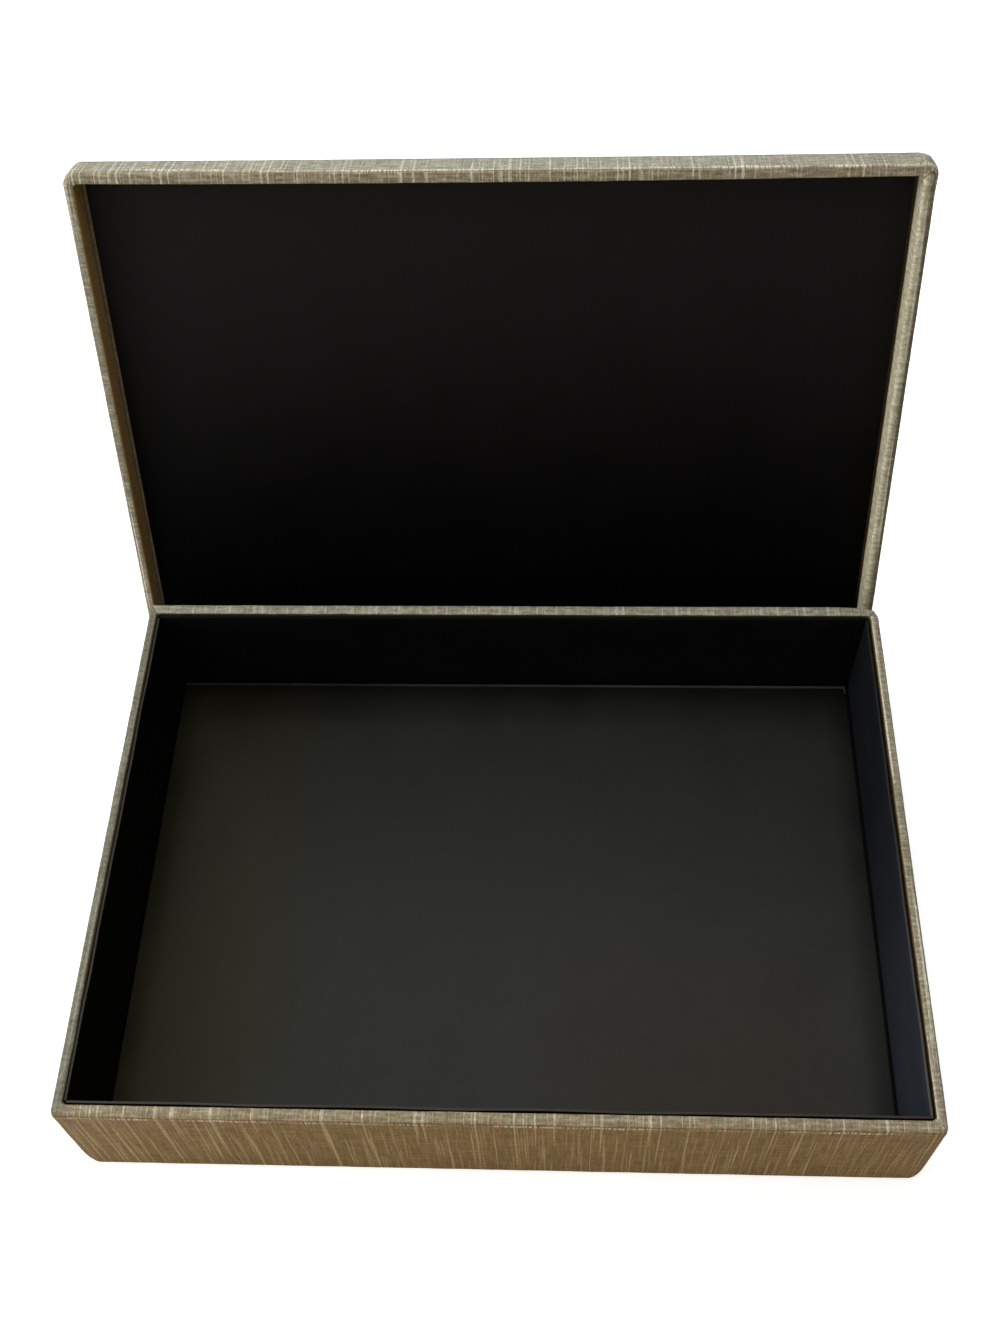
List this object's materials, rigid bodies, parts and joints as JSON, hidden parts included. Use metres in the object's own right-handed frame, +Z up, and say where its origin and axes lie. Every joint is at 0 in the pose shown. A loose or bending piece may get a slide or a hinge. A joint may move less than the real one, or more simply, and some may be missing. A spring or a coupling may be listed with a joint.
{
  "type": "photo storage box",
  "caption": "Cloth-covered telescoping storage box for photo prints: a shallow open tray lined with black card, and its lift-off lid leaning behind it, open side to the front.",
  "frame": {"origin": "middle of the tray's underside, on the surface it stands on", "axes": "+X along the box to the right, +Y from the front to the lid behind, +Z up"},
  "size_m": [0.34, 0.3296, 0.2362],
  "materials": {
    "greyboard": "matte, pressed grey-brown board",
    "black_board": "matte, greyboard faced with black paper",
    "gummed_tape": "matte kraft paper",
    "cover_cloth": "slubbed book cloth with a low sheen, bronze-olive",
    "black_card": "matte black card",
    "infill_card": "matte",
    "underside_paper": "matte black paper"
  },
  "bodies": {
    "base": {"base_bottom_board": "black_board", "base_front_board": "greyboard", "base_rear_board": "greyboard", "base_left_board": "greyboard", "base_right_board": "greyboard", "base_corner_tapes": "gummed_tape", "base_front_cloth": "cover_cloth", "base_rear_cloth": "cover_cloth", "base_left_cloth": "cover_cloth", "base_right_cloth": "cover_cloth", "base_infill_card": "infill_card", "base_underside_sheet": "underside_paper", "base_front_liner": "black_card", "base_rear_liner": "black_card", "base_left_liner": "black_card", "base_right_liner": "black_card", "base_floor_liner": "black_card"},
    "lid": {"lid_top_board": "greyboard", "lid_front_board": "greyboard", "lid_rear_board": "greyboard", "lid_left_board": "greyboard", "lid_right_board": "greyboard", "lid_corner_tapes": "gummed_tape", "lid_top_cloth": "cover_cloth", "lid_front_cloth": "cover_cloth", "lid_rear_cloth": "cover_cloth", "lid_left_cloth": "cover_cloth", "lid_right_cloth": "cover_cloth", "lid_infill_card": "infill_card", "lid_lining_panel": "black_card"}
  },
  "joints": [
    {"name": "lid_lift", "type": "slide", "parent": "base", "child": "lid", "axis": [0, 0, 1], "range_m": [0, 0.085]}
  ]
}
